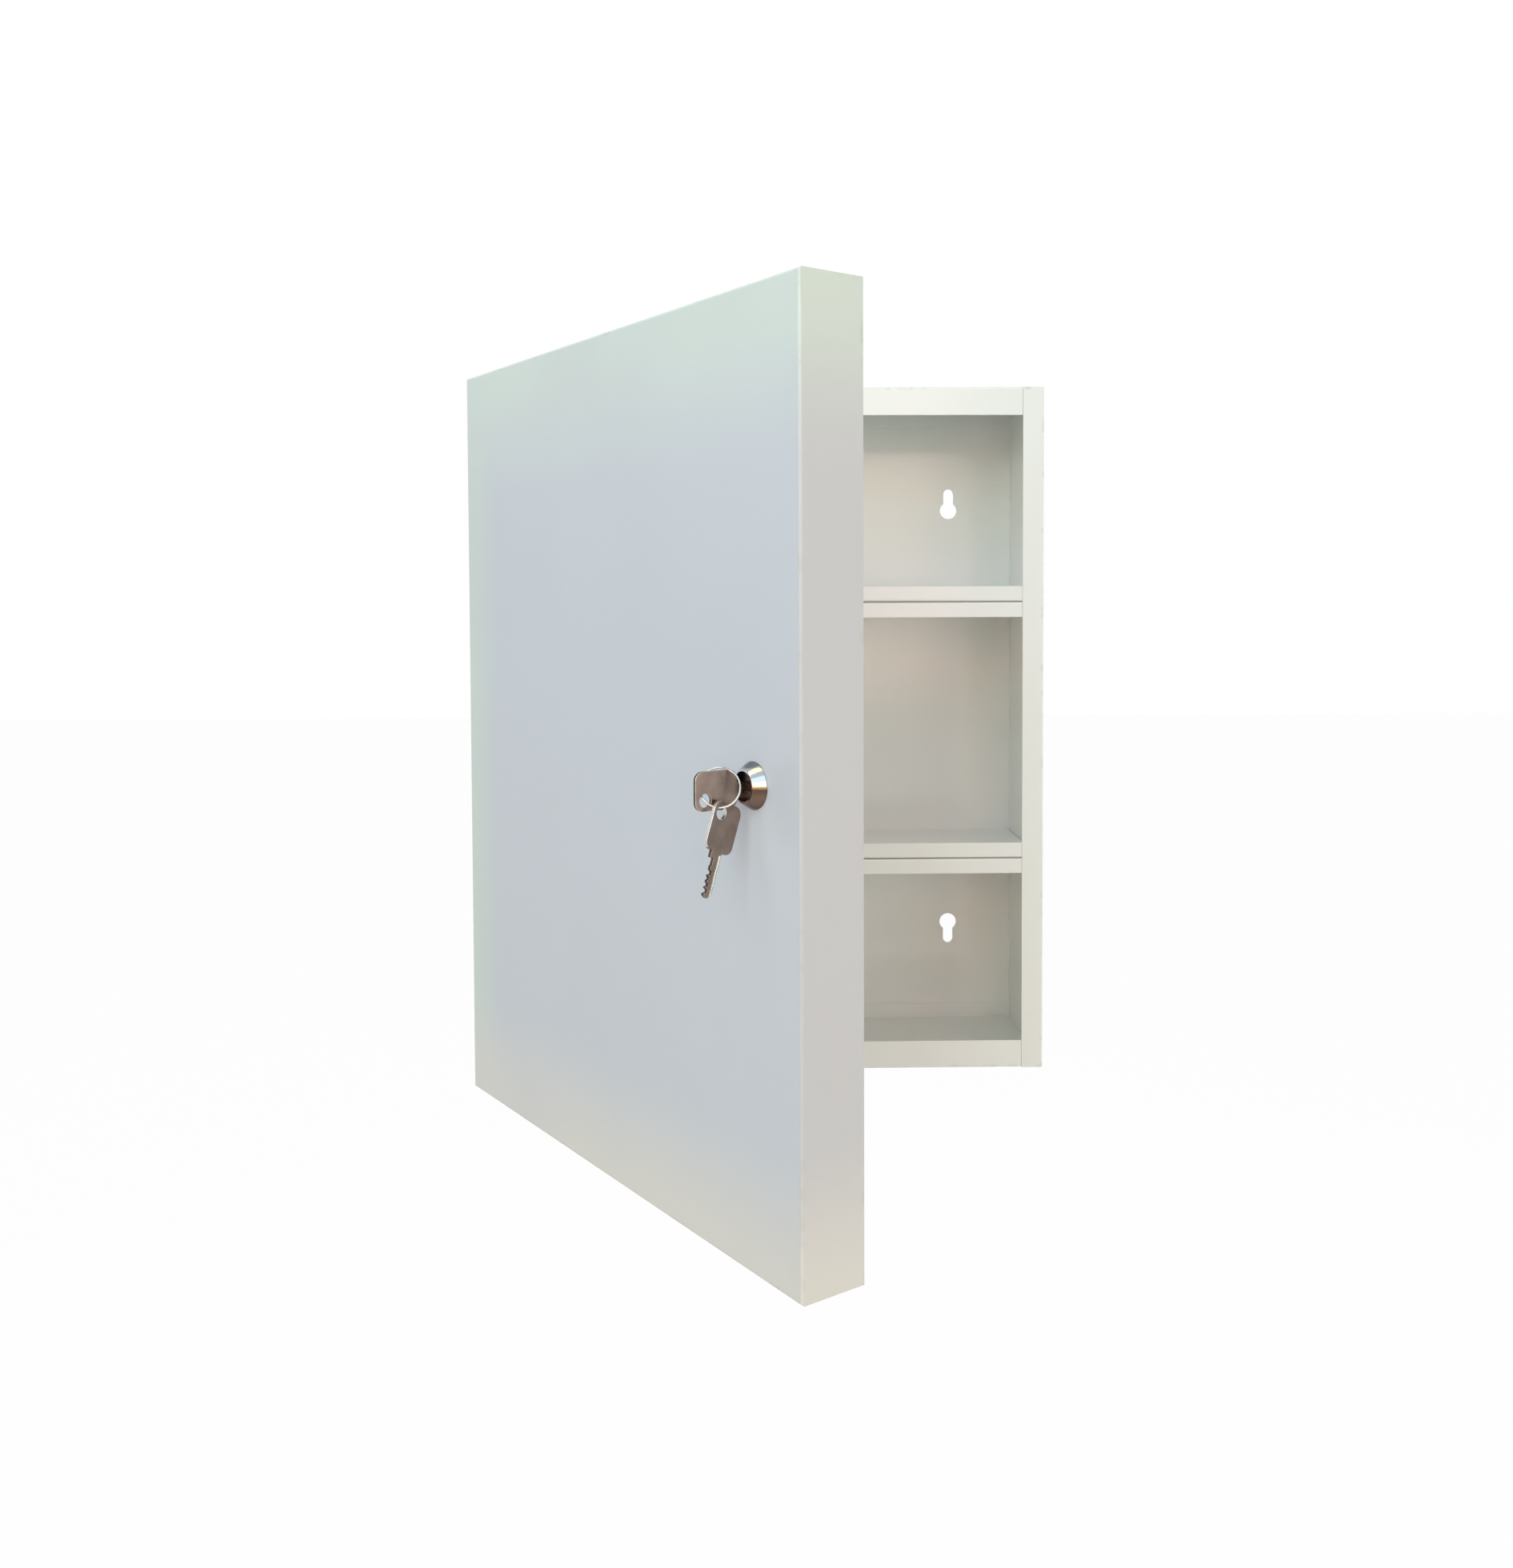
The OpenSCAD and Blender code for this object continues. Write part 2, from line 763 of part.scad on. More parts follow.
module spare_key() {
    color(nickel) at_lock() translate(hang_pos)
        rotate([0, 0, spare_turn]) rotate([90, 90, 0]) rotate([0, 0, -spare_lean])
            translate([bow_l - key_hole_in, key_hole_off, 0]) key_form();
}

body_wrap();
top_panel();
bottom_panel();
upper_shelf_tray();
upper_shelf_liner();
lower_shelf_tray();
lower_shelf_liner();
upper_hinge_plate();
lower_hinge_plate();
door_panel();
upper_hinge_pin();
lower_hinge_pin();
upper_hinge_washer();
lower_hinge_washer();
lock_housing();
lock_tooth_washer();
lock_nut();
lock_plug();
wafer_tumblers();
cam_stop_washer();
lock_cam();
cam_screw();
key();
key_ring();
spare_key();
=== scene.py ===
import json
import math

import bmesh
import bpy
import numpy as np
from mathutils import Matrix, Vector


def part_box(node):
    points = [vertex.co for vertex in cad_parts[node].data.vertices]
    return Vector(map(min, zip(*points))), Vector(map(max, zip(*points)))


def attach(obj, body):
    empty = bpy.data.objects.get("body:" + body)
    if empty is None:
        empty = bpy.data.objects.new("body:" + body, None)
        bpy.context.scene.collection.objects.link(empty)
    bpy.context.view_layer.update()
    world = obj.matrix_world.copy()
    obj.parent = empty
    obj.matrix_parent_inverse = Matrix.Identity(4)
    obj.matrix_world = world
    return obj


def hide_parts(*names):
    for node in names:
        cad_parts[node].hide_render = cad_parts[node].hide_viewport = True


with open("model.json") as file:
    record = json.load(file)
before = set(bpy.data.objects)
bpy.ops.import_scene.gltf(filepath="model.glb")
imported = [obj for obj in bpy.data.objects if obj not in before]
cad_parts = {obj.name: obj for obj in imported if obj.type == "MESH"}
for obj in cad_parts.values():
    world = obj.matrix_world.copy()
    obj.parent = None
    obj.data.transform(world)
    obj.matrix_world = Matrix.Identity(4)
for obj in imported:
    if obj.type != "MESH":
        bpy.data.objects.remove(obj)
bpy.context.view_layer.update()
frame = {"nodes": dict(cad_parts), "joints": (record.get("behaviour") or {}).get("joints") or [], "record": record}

MM = 0.001

# The photograph's frame and the camera solved from its straight edges
IMAGE_W = 1891
IMAGE_H = 1960
FOCAL_PX = 1736.4
CENTRE_PX = (962.2, 827.9)
SENSOR_MM = 36.0
CAMERA_MM = (-22.1, -1016.2, 79.0)
YAW_DEG = -1.02
PITCH_DEG = -2.15
ROLL_DEG = -0.22

# Floor and background
FLOOR_Z = -1.15
FLOOR_SIZE = 30.0
FLOOR_COLOUR = (0.86, 0.86, 0.85)
FLOOR_WHITE_SHARE = 0.98
AMBIENT = (0.275, 0.275, 0.275)

# Lamps: name, place and target in metres, width and height in metres, watts, colour
LAMPS = [
    ("window", (-0.06, -2.5, 0.39), (-0.06, 0.0, 0.39), (1.08, 1.01), 9.5, (1.0, 0.60, 0.46)),
    ("front_high", (-0.3, -2.4, 1.5), (0.0, 0.0, 0.0), (2.0, 0.9), 6.5, (0.45, 0.75, 1.0)),
    ("left_high", (-0.8, -2.3, 0.8), (0.1, 0.0, 0.0), (0.8, 0.8), 10.0, (0.66, 1.0, 0.90)),
    ("left_low", (-0.8, -2.3, -0.25), (0.1, 0.0, 0.05), (0.8, 0.9), 1.6, (1.0, 0.5, 0.25)),
    ("overhead", (0.0, -0.7, 2.2), (0.0, -0.1, 0.0), (1.5, 1.0), 8.0, (1.0, 0.96, 0.35)),
    ("top_left", (-0.75, -0.95, 1.15), (-0.15, -0.25, 0.15), (0.9, 0.7), 7.0, (0.64, 0.75, 1.0)),
    ("front_right", (1.3, -2.2, 0.1), (0.05, 0.0, 0.0), (1.0, 1.0), 5.6, (1.0, 0.98, 0.90)),
    ("right_level", (2.2, 0.35, 0.3), (0.0, -0.15, 0.0), (1.2, 1.4), 9.0, (1.0, 1.0, 1.0)),
    ("right_low", (1.9, 0.2, -0.7), (0.0, -0.15, 0.0), (1.2, 1.4), 6.0, (0.90, 1.0, 0.80)),
    ("right_back", (1.7, 1.7, 0.5), (0.1, -0.05, 0.0), (1.4, 1.4), 7.0, (1.0, 0.99, 0.97)),
    ("behind", (0.2, 2.4, 0.9), (0.0, 0.0, 0.0), (1.4, 1.2), 8.0, (0.98, 0.99, 1.0)),
]

JOINTS = {joint["name"]: joint for joint in frame["joints"]}


# Placement


def hinge_turn():
    """The turn that takes a point on the open door to where it is on the closed door."""
    joint = JOINTS["door_hinge"]
    pivot = Matrix.Translation(Vector(joint["pos_m"]))
    angle = math.radians(-joint["range_deg"][0])
    return pivot @ Matrix.Rotation(angle, 4, "Z") @ pivot.inverted()


def points_of(node):
    """A CAD node's points as rows."""
    return np.array([vertex.co for vertex in frame["nodes"][node].data.vertices])


def main_axes(points):
    """The three ways in which points spread, from the least to the most."""
    return np.linalg.eigh(np.cov((points - points.mean(0)).T))[1].T


def lock_axis():
    """The lock's origin on the door's face, and its way into the cabinet."""
    joint = JOINTS["lock_turn"]
    return Vector(joint["pos_m"]), Vector(joint["axis"]).normalized()


def lock_depths(node):
    """How deep each point of a node lies along the lock's axis."""
    origin, inward = lock_axis()
    return [(vertex.co - origin).dot(inward) for vertex in frame["nodes"][node].data.vertices]


def outline_of(node):
    """A ring-shaped node's centre, axis, middle radius, width along the axis and thickness."""
    points = points_of(node)
    centre = (points.min(0) + points.max(0)) / 2
    axis = main_axes(points)[0]
    along = (points - centre) @ axis
    radii = np.linalg.norm((points - centre) - np.outer(along, axis), axis=1)
    return Vector(centre), Vector(axis), (radii.min() + radii.max()) / 2, np.ptp(along), np.ptp(radii)


def look_at(obj, target):
    direction = Vector(target) - obj.location
    obj.rotation_euler = direction.to_track_quat("-Z", "Y").to_euler()


# Stage


def add_camera():
    data = bpy.data.cameras.new("camera")
    data.sensor_fit = "AUTO"
    data.sensor_width = SENSOR_MM
    data.lens = FOCAL_PX * SENSOR_MM / IMAGE_H
    data.shift_x = (IMAGE_W / 2 - CENTRE_PX[0]) / IMAGE_H
    data.shift_y = (CENTRE_PX[1] - IMAGE_H / 2) / IMAGE_H
    camera = bpy.data.objects.new("camera", data)
    bpy.context.scene.collection.objects.link(camera)
    camera.matrix_world = (
        Matrix.Translation(Vector(CAMERA_MM) * MM)
        @ Matrix.Rotation(math.radians(YAW_DEG), 4, "Z")
        @ Matrix.Rotation(math.radians(90 + PITCH_DEG), 4, "X")
        @ Matrix.Rotation(math.radians(ROLL_DEG), 4, "Z")
    )
    bpy.context.scene.camera = camera


def add_lamp(name, place, target, size, watts, colour):
    data = bpy.data.lights.new(name, "AREA")
    data.shape = "RECTANGLE"
    data.size, data.size_y = size
    data.energy = watts
    data.color = colour
    lamp = bpy.data.objects.new(name, data)
    bpy.context.scene.collection.objects.link(lamp)
    lamp.location = place
    lamp.visible_camera = False
    look_at(lamp, target)


def backdrop_rays(tree):
    """A value of 1 for the rays that see the background: from the camera, and through gloss and glass."""
    path = tree.nodes.new("ShaderNodeLightPath")
    total = None
    for name in ("Is Camera Ray", "Is Glossy Ray", "Is Transmission Ray"):
        if total is None:
            total = path.outputs[name]
            continue
        both = tree.nodes.new("ShaderNodeMath")
        both.operation = "MAXIMUM"
        tree.links.new(total, both.inputs[0])
        tree.links.new(path.outputs[name], both.inputs[1])
        total = both.outputs[0]
    return total


def add_world():
    world = bpy.data.worlds.new("studio")
    bpy.context.scene.world = world
    world.use_nodes = True
    tree = world.node_tree
    tree.nodes.clear()
    ambient = tree.nodes.new("ShaderNodeBackground")
    ambient.inputs["Color"].default_value = (*AMBIENT, 1)
    white = tree.nodes.new("ShaderNodeBackground")
    white.inputs["Color"].default_value = (1, 1, 1, 1)
    mix = tree.nodes.new("ShaderNodeMixShader")
    out = tree.nodes.new("ShaderNodeOutputWorld")
    tree.links.new(backdrop_rays(tree), mix.inputs[0])
    tree.links.new(ambient.outputs[0], mix.inputs[1])
    tree.links.new(white.outputs[0], mix.inputs[2])
    tree.links.new(mix.outputs[0], out.inputs[0])


def add_floor():
    mesh = bpy.data.meshes.new("floor")
    half = FLOOR_SIZE / 2
    corners = [(-half, -half, FLOOR_Z), (half, -half, FLOOR_Z), (half, half, FLOOR_Z), (-half, half, FLOOR_Z)]
    mesh.from_pydata(corners, [], [(0, 1, 2, 3)])
    floor = bpy.data.objects.new("floor", mesh)
    bpy.context.scene.collection.objects.link(floor)
    material = bpy.data.materials.new("floor")
    material.use_nodes = True
    tree = material.node_tree
    tree.nodes.clear()
    matte = tree.nodes.new("ShaderNodeBsdfDiffuse")
    matte.inputs["Color"].default_value = (*FLOOR_COLOUR, 1)
    glow = tree.nodes.new("ShaderNodeEmission")
    glow.inputs["Color"].default_value = (1, 1, 1, 1)
    share = tree.nodes.new("ShaderNodeMath")
    share.operation = "MULTIPLY"
    share.inputs[1].default_value = FLOOR_WHITE_SHARE
    mix = tree.nodes.new("ShaderNodeMixShader")
    out = tree.nodes.new("ShaderNodeOutputMaterial")
    tree.links.new(backdrop_rays(tree), share.inputs[0])
    tree.links.new(share.outputs[0], mix.inputs[0])
    tree.links.new(matte.outputs[0], mix.inputs[1])
    tree.links.new(glow.outputs[0], mix.inputs[2])
    tree.links.new(mix.outputs[0], out.inputs[0])
    floor.data.materials.append(material)


# Pieces


SMOOTH_DEG = 35.0


def add_piece(name, bm, body, materials, stands_for=None):
    """A new mesh piece that rides on a body, smooth up to an angle and with its flats kept flat."""
    mesh = bpy.data.meshes.new(name)
    bm.normal_update()
    bm.to_mesh(mesh)
    bm.free()
    mesh.shade_smooth()
    mesh.set_sharp_from_angle(angle=math.radians(SMOOTH_DEG))
    for material in materials:
        mesh.materials.append(material)
    piece = bpy.data.objects.new(name, mesh)
    bpy.context.scene.collection.objects.link(piece)
    flats = piece.modifiers.new("flats", "WEIGHTED_NORMAL")
    flats.keep_sharp = True
    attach(piece, body)
    if stands_for:
        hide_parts(stands_for)


MERGE_REACH = 1e-6
FLAT_DEG = 0.5
SHARP_DEG = 30.0
BEVEL_SEGMENTS = 2


def is_sharp(edge):
    return len(edge.link_faces) == 2 and edge.calc_face_angle() > math.radians(SHARP_DEG)


def bevelled(node, width):
    """A copy of a CAD node's solid with its sharp edges broken."""
    bm = bmesh.new()
    bm.from_mesh(frame["nodes"][node].data)
    bmesh.ops.remove_doubles(bm, verts=bm.verts, dist=MERGE_REACH)
    bmesh.ops.dissolve_limit(bm, angle_limit=math.radians(FLAT_DEG), verts=bm.verts, edges=bm.edges)
    bmesh.ops.bevel(
        bm,
        geom=[edge for edge in bm.edges if is_sharp(edge)],
        offset=width,
        segments=BEVEL_SEGMENTS,
        profile=0.5,
        affect="EDGES",
        clamp_overlap=True,
    )
    return bm


def swept(bm, sections):
    """Skins a list of point loops of one length, and caps both ends."""
    rings = [[bm.verts.new(point) for point in section] for section in sections]
    count = len(rings[0])
    for first, second in zip(rings, rings[1:]):
        for i in range(count):
            j = (i + 1) % count
            bm.faces.new((first[i], first[j], second[j], second[i]))
    bm.faces.new(rings[0][::-1])
    bm.faces.new(rings[-1])


CORNER_STEPS = 3


def rounded_section(width, height, radius):
    """Points round a rectangle with rounded corners."""
    points = []
    for quarter, (sx, sy) in enumerate(((1, 1), (-1, 1), (-1, -1), (1, -1))):
        for step in range(CORNER_STEPS + 1):
            turn = math.radians(90 * quarter + 90 * step / CORNER_STEPS)
            x = sx * (width / 2 - radius) + radius * math.cos(turn)
            y = sy * (height / 2 - radius) + radius * math.sin(turn)
            points.append((x, y))
    return points


RING_GROOVE = 0.2 * MM
RING_ROUND = 0.16 * MM
RING_CROSS_DEG = 34.0
RING_END_GAP_DEG = 6.0
RING_STEPS_PER_TURN = 96
RING_CROSS_AT_DEG = 205.0


def split_ring(material):
    """Two turns of flat wire side by side, with the cross-over and both free ends."""
    centre, axis, radius, width, thick = outline_of("key_ring")
    side = axis.orthogonal().normalized()
    front = axis.cross(side)
    turn_w = (width - RING_GROOVE) / 2
    lift = (width - turn_w) / 2
    section = rounded_section(thick, turn_w, RING_ROUND)
    half_cross = RING_CROSS_DEG / 2
    first = half_cross + RING_END_GAP_DEG
    steps = 2 * RING_STEPS_PER_TURN
    sections = []
    for step in range(steps + 1):
        degrees = first + (720 - 2 * first) * step / steps
        share = min(max((degrees - 360 + half_cross) / RING_CROSS_DEG, 0.0), 1.0)
        height = lift * (2 * share * share * (3 - 2 * share) - 1)
        turn = math.radians(degrees + RING_CROSS_AT_DEG)
        outward = math.cos(turn) * side + math.sin(turn) * front
        sections.append([centre + outward * (radius + x) + axis * (height + y) for x, y in section])
    bm = bmesh.new()
    swept(bm, sections)
    bmesh.ops.recalc_face_normals(bm, faces=bm.faces)
    add_piece("split_ring", bm, "ring", [material], "key_ring")


# The ridges start inside the barrel, and rise and fall over an eighth of each arc
BEHIND_HEAD = 2 * MM
THREAD_PITCH = 1.0 * MM
THREAD_DEPTH = 0.22 * MM
THREAD_LEAST = 0.01 * MM
THREAD_SUNK = 0.1 * MM
THREAD_FADE = 8
THREAD_ARC_STEPS = 22
THREAD_CLEAR = 0.4 * MM
RIDGE_FOOT = 0.42 * THREAD_PITCH
RIDGE_CREST = 0.06 * THREAD_PITCH


def barrel_thread(material):
    """Thread ridges on the round sides of the lock's barrel, from the nut almost to the stop washer."""
    origin, inward = lock_axis()
    up = Vector((0, 0, 1))
    side = up.cross(inward).normalized()
    points = [vertex.co - origin for vertex in frame["nodes"]["lock_housing"].data.vertices]
    barrel = [point for point in points if point.dot(inward) > BEHIND_HEAD]
    outer = max(math.hypot(point.dot(side), point.dot(up)) for point in barrel)
    flat = max(point.dot(side) for point in barrel)
    start = max(lock_depths("lock_nut")) + THREAD_CLEAR
    end = min(lock_depths("cam_stop_washer")) - THREAD_PITCH
    half_arc = 90 - math.degrees(math.acos(flat / outer))
    bm = bmesh.new()
    for turn in range(int((end - start) / THREAD_PITCH)):
        for half in (0, 1):
            sections = []
            for step in range(THREAD_ARC_STEPS + 1):
                share = step / THREAD_ARC_STEPS
                degrees = 90 + 180 * half + half_arc * (2 * share - 1)
                deep = start + THREAD_PITCH * (turn + (degrees - 90) / 360 + 0.5)
                fade = min(1.0, THREAD_FADE * share, THREAD_FADE * (1 - share))
                root, crest = outer - THREAD_SUNK, outer + THREAD_DEPTH * fade + THREAD_LEAST
                ray = math.radians(degrees)
                outward = math.cos(ray) * side + math.sin(ray) * up
                ridge = ((root, -RIDGE_FOOT), (crest, -RIDGE_CREST), (crest, RIDGE_CREST), (root, RIDGE_FOOT))
                sections.append([origin + outward * out + inward * (deep + along) for out, along in ridge])
            swept(bm, sections)
    bmesh.ops.recalc_face_normals(bm, faces=bm.faces)
    add_piece("barrel_thread", bm, "door", [material])


KEY_BEVEL = 0.22 * MM
# How square to the plate a patch's normal is, at least, on its faces and on its broken edges
KEY_FACE_COS = 0.95
KEY_BEVEL_COS = 0.3
BOW_SHARE = 0.5
LONG_EDGE = 6 * MM


def stamped_key(node, name, body, looks, bow_side):
    """A key with broken edges: bright along the bow and the long edges, worn metal with a painted highlight;
    darker in the bitting, a painted shade.
    """
    names = ["key_nickel", "key_edge_wear_and_highlight", bow_side, "nickel_dark"]
    points = points_of(node)
    across, _, along = (Vector(axis) for axis in main_axes(points))
    reach = [Vector(point).dot(along) for point in points]
    hook = outline_of("key_ring")[0].dot(along)
    bow_end = min((min(reach), max(reach)), key=lambda end: abs(end - hook))
    bow_length = BOW_SHARE * (max(reach) - min(reach))
    bm = bevelled(node, KEY_BEVEL)
    bm.normal_update()
    for patch in bm.faces:
        square = abs(patch.normal.dot(across))
        on_bow = abs(patch.calc_center_median().dot(along) - bow_end) < bow_length
        on_bow_or_long_edge = on_bow or max(edge.calc_length() for edge in patch.edges) > LONG_EDGE
        if square > KEY_FACE_COS:
            patch.material_index = 0
        elif square > KEY_BEVEL_COS:
            patch.material_index = 1 if on_bow_or_long_edge else 0
        else:
            patch.material_index = 2 if on_bow_or_long_edge else 3
    add_piece(name, bm, body, [looks[each] for each in names], node)


LOCK_BEVEL = 0.12 * MM
RECESS_OVER_PLUG = 0.2 * MM
RIM_THICK = 0.15 * MM


def lock_head(painted_head, painted_recess, barrel):
    """The lock's housing with broken edges, in three finishes: polished cone with a painted reflection, recess
    with painted shade and reflection, plain barrel.
    """
    origin, inward = lock_axis()

    def from_axis(point):
        return (point - origin - inward * (point - origin).dot(inward)).length

    bm = bevelled("lock_housing", LOCK_BEVEL)
    rim = min((vertex.co - origin).dot(inward) for vertex in bm.verts)
    plug = max(from_axis(vertex.co) for vertex in frame["nodes"]["lock_plug"].data.vertices)
    for face in bm.faces:
        centre = face.calc_center_median()
        deep = (centre - origin).dot(inward)
        in_recess = from_axis(centre) < plug + RECESS_OVER_PLUG and deep > rim + RIM_THICK
        face.material_index = 2 if deep > 0 else 1 if in_recess else 0
    add_piece("lock_head", bm, "door", [painted_head, painted_recess, barrel], "lock_housing")


def metal_pieces(looks):
    split_ring(looks["ring_nickel"])
    barrel_thread(looks["nickel"])
    lock_head(looks["head_painted_reflection"], looks["recess_painted_light"], looks["nickel"])
    # The working key's bow sides get painted shade, the hanging key's worn edge metal with a painted highlight
    stamped_key("key", "working_key_cut", "working_key", looks, "nickel_dark")
    stamped_key("spare_key", "hanging_key_cut", "hanging_key", looks, "key_edge_wear_and_highlight")


# Materials


# The colour sockets of a mix node
MIX_COLOURS = (6, 7)
MIX_RESULT = 2


class Finish:
    """A material around one Principled shader, with short calls for its nodes."""

    def __init__(self, name, **constants):
        self.material = bpy.data.materials.new(name)
        self.material.use_nodes = True
        self.tree = self.material.node_tree
        self.shader = self.tree.nodes["Principled BSDF"]
        for socket, value in constants.items():
            self.shader.inputs[socket.replace("_", " ")].default_value = value

    def node(self, kind, **inputs):
        made = self.tree.nodes.new("ShaderNode" + kind)
        for socket, value in inputs.items():
            self.feed(made.inputs[socket.replace("_", " ")], value)
        return made

    def feed(self, socket, value):
        if isinstance(value, bpy.types.NodeSocket):
            self.tree.links.new(value, socket)
        else:
            socket.default_value = value

    def place(self, transform=None):
        """Object coordinates, turned by a transform into a piece's own upright frame."""
        coords = self.node("TexCoord").outputs["Object"]
        if transform is None:
            return coords
        mapping = self.node("Mapping", Vector=coords)
        mapping.inputs["Location"].default_value = transform.to_translation()
        mapping.inputs["Rotation"].default_value = transform.to_euler()
        return mapping.outputs[0]

    def stretch(self, coords, scale):
        mapping = self.node("Mapping", Vector=coords)
        mapping.inputs["Scale"].default_value = scale
        return mapping.outputs[0]

    def noise(self, coords, scale, detail):
        return self.node("TexNoise", Vector=coords, Scale=scale, Detail=detail).outputs["Fac"]

    def range(self, value, low, high, to_low, to_high, smooth=False):
        made = self.node("MapRange", Value=value)
        made.interpolation_type = "SMOOTHSTEP" if smooth else "LINEAR"
        limits = (("From Min", low), ("From Max", high), ("To Min", to_low), ("To Max", to_high))
        for socket, number in limits:
            made.inputs[socket].default_value = number
        return made.outputs[0]

    def drift(self, coords, scale, detail, span, low, high, smooth=True):
        """A value that drifts from low to high where a noise goes through a span."""
        return self.range(self.noise(coords, scale, detail), *span, low, high, smooth)

    def axis(self, coords, name):
        return self.node("SeparateXYZ", Vector=coords).outputs[name]

    def math(self, operation, a, b=0.0):
        made = self.tree.nodes.new("ShaderNodeMath")
        made.operation = operation
        self.feed(made.inputs[0], a)
        self.feed(made.inputs[1], b)
        return made.outputs[0]

    def blend(self, share, first, second):
        made = self.tree.nodes.new("ShaderNodeMix")
        made.data_type = "RGBA"
        self.feed(made.inputs[0], share)
        for socket, colour in zip(MIX_COLOURS, (first, second)):
            made_colour = isinstance(colour, bpy.types.NodeSocket)
            self.feed(made.inputs[socket], colour if made_colour else (*colour, 1))
        return made.outputs[MIX_RESULT]

    def bump(self, height, strength, distance):
        return self.node("Bump", Height=height, Strength=strength, Distance=distance).outputs[0]

    def done(self, colour, roughness, normal=None):
        """Feeds the shader, and returns the finished material."""
        for name, value in (("Base Color", colour), ("Roughness", roughness), ("Normal", normal)):
            if value is not None:
                self.tree.links.new(value, self.shader.inputs[name])
        return self.material


# Roughness ranges here stay on one side of 0.274. A range across it shows as outlines after denoising.
PAINT = (0.95, 0.96, 0.92)
PAINT_WORN = (0.925, 0.93, 0.88)
# The door's own coat with painted shade: darker and cooler than the body's paint, for the dimmer, cooler light on
# the door's face
DOOR_PAINT_AND_SHADE = (0.72, 0.75, 0.795)
DOOR_CLOUD = (0.69, 0.715, 0.745)
# Painted light on the door: a greenish cast along the hinge side and the top, and a warm glow at the foot
DOOR_HINGE_PAINTED_LIGHT = (0.755, 0.845, 0.76)
DOOR_TOP_PAINTED_LIGHT = (0.785, 0.87, 0.785)
DOOR_FOOT_PAINTED_LIGHT = (0.87, 0.83, 0.76)
# Painted shade on the door's free-edge flange
DOOR_RIM_PAINTED_SHADE = (0.70, 0.69, 0.705)
RUBBED = (0.62, 0.61, 0.56)
# Painted shade in the groove between a shelf's two front lips
SEAM_SHADE_COLOUR = (0.30, 0.29, 0.27)

GLOSS_SCALE = 40.0
PEEL_SCALE = 320.0
PEEL_STRENGTH = 0.10
PEEL_HEIGHT = 0.2 * MM
WEAR_SCALE = 90.0
WEAR_REACH = 2.5 * MM
WEAR_MOST = 0.7
SEAM_REACH = 0.9 * MM
SEAM_DEPTH = 3 * SEAM_REACH

# How much detail a noise has, and the spans of its value over which a pattern comes up
PLAIN = 1.0
CLOUDED = 1.5
STREAKED = 2.0
FINE = 3.0
EVEN_SPAN = (0.3, 0.7)
CLOUD_SPAN = (0.3, 0.75)
DOOR_CLOUD_SPAN = (0.35, 0.75)
SPOT_SPAN = (0.5, 0.72)


def peeled(finish, coords, low_rough, high_rough):
    """The roughness and the fine orange peel that every powder coat here has."""
    rough = finish.drift(coords, GLOSS_SCALE, FINE, EVEN_SPAN, low_rough, high_rough)
    return rough, finish.bump(finish.noise(coords, PEEL_SCALE, PLAIN), PEEL_STRENGTH, PEEL_HEIGHT)


def edge_wear(finish, coords, low, high):
    """Rubbed spots along a box's edges: near two of its sides at once, where a fine noise is high."""
    nearest = []
    for name, first, last in zip("XYZ", low, high):
        middle, half = (first + last) / 2, (last - first) / 2
        out = finish.math("ABSOLUTE", finish.math("SUBTRACT", finish.axis(coords, name), middle))
        nearest.append(finish.range(out, half - WEAR_REACH, half, 0.0, 1.0))
    pairs = [finish.math("MULTIPLY", nearest[i], nearest[j]) for i, j in ((0, 1), (1, 2), (0, 2))]
    edge = finish.math("MAXIMUM", finish.math("MAXIMUM", pairs[0], pairs[1]), pairs[2])
    return finish.math("MULTIPLY", edge, finish.drift(coords, WEAR_SCALE, FINE, SPOT_SPAN, 0.0, WEAR_MOST))


def seam_painted_shade(finish, coords):
    """Painted shade: a dark line in the groove where a shelf's two front lips meet back to back."""
    total = 0.0
    for liner in ("upper_shelf_liner", "lower_shelf_liner"):
        low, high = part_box(liner)
        off = finish.math("ABSOLUTE", finish.math("SUBTRACT", finish.axis(coords, "Z"), high.z))
        line = finish.range(off, 0.0, SEAM_REACH, 1.0, 0.0, smooth=True)
        depth = finish.axis(coords, "Y")
        front = finish.range(depth, low.y + SEAM_REACH, low.y + SEAM_DEPTH, 1.0, 0.0)
        total = finish.math("MAXIMUM", finish.math("MULTIPLY", line, front), total)
    return total


COAT_SPECULAR = 0.5
PAINT_ROUGH = (0.10, 0.14)
BODY_CLOUD_SCALE = 5.0
BODY_CLOUD_MOST = 0.35


def powder_coat(name, colour, worn, box, shaded_seams=False):
    """Glossy powder coat: faint clouding, orange peel, edges rubbed a little, and painted shade in the shelf seams
    if asked.
    """
    finish = Finish(name, Specular_IOR_Level=COAT_SPECULAR)
    coords = finish.place()
    clouds = finish.drift(coords, BODY_CLOUD_SCALE, CLOUDED, CLOUD_SPAN, 0.0, BODY_CLOUD_MOST)
    shade = finish.blend(clouds, colour, worn)
    shade = finish.blend(edge_wear(finish, coords, *box), shade, RUBBED)
    if shaded_seams:
        shade = finish.blend(seam_painted_shade(finish, coords), shade, SEAM_SHADE_COLOUR)
    return finish.done(shade, *peeled(finish, coords, *PAINT_ROUGH))


DOOR_ROUGH = (0.28, 0.33)
DOOR_CLOUD_SCALE = 9.0
DOOR_CLOUD_MOST = 0.3
# Where the painted shade on the free-edge flange starts and where it is full
RIM_SHADE_START = 3 * MM
RIM_SHADE_FULL = 0.5 * MM
# How far the door's painted light reaches from the hinge side, the top and the foot
HINGE_PAINTED_LIGHT_REACH = 50 * MM
TOP_PAINTED_LIGHT_REACH = 90 * MM
FOOT_PAINTED_LIGHT_REACH = 75 * MM


